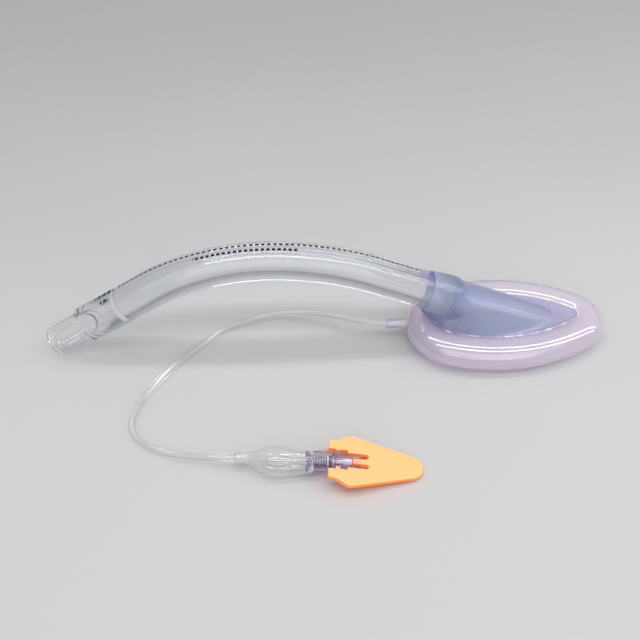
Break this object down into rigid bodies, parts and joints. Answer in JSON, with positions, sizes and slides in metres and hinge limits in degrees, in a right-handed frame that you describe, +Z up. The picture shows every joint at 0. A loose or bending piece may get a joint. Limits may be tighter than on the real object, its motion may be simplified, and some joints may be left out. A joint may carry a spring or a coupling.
{
  "type": "laryngeal mask airway",
  "caption": "Curved clear breathing tube with a cone connector and an inflatable oval mask, with an inflation line, pilot balloon, check valve and vent tag.",
  "frame": {"origin": "on the surface that the airway lies on, under the middle of its box without the inflation line and what is on it", "axes": "+X from the connector to the tip of the mask, +Z up, and the airway is symmetrical about the plane Y = 0"},
  "size_m": [0.282, 0.1245, 0.0651],
  "materials": {
    "clear_tube": "clear, glossy and slightly soft",
    "clear_hard": "clear, hard and polished",
    "tinted_blue": "translucent blue, glossy and soft",
    "tinted_film": "translucent film with a light violet tint, glossy",
    "clear_line": "clear, glossy and soft",
    "clear_film": "clear thin film",
    "valve_clear": "clear with a violet tint, hard",
    "valve_white": "white, smooth",
    "seal_black": "black, matt",
    "spring_steel": "drawn wire",
    "tag_orange": "orange, fine matt"
  },
  "bodies": {
    "airway": {"airway_tube": "clear_tube", "tube_connector": "clear_hard", "mask_backplate": "tinted_blue", "mask_cuff": "tinted_film", "inflation_line": "clear_line", "pilot_balloon": "clear_film", "valve_housing": "valve_clear", "valve_base": "valve_white", "valve_spring": "spring_steel"},
    "plunger": {"valve_plunger": "valve_white", "valve_seal": "seal_black"},
    "tag": {"vent_tag": "tag_orange"}
  },
  "joints": [
    {"name": "plunger_press", "type": "slide", "parent": "airway", "child": "plunger", "axis": [-0.9982, 0.0593, 0], "range_m": [0, 0.0016], "stiffness_N_per_m": 300, "deforming": ["valve_spring"]},
    {"name": "tag_pull", "type": "slide", "parent": "airway", "child": "tag", "axis": [0.9982, -0.0593, 0], "range_m": [0, 0.025]}
  ]
}
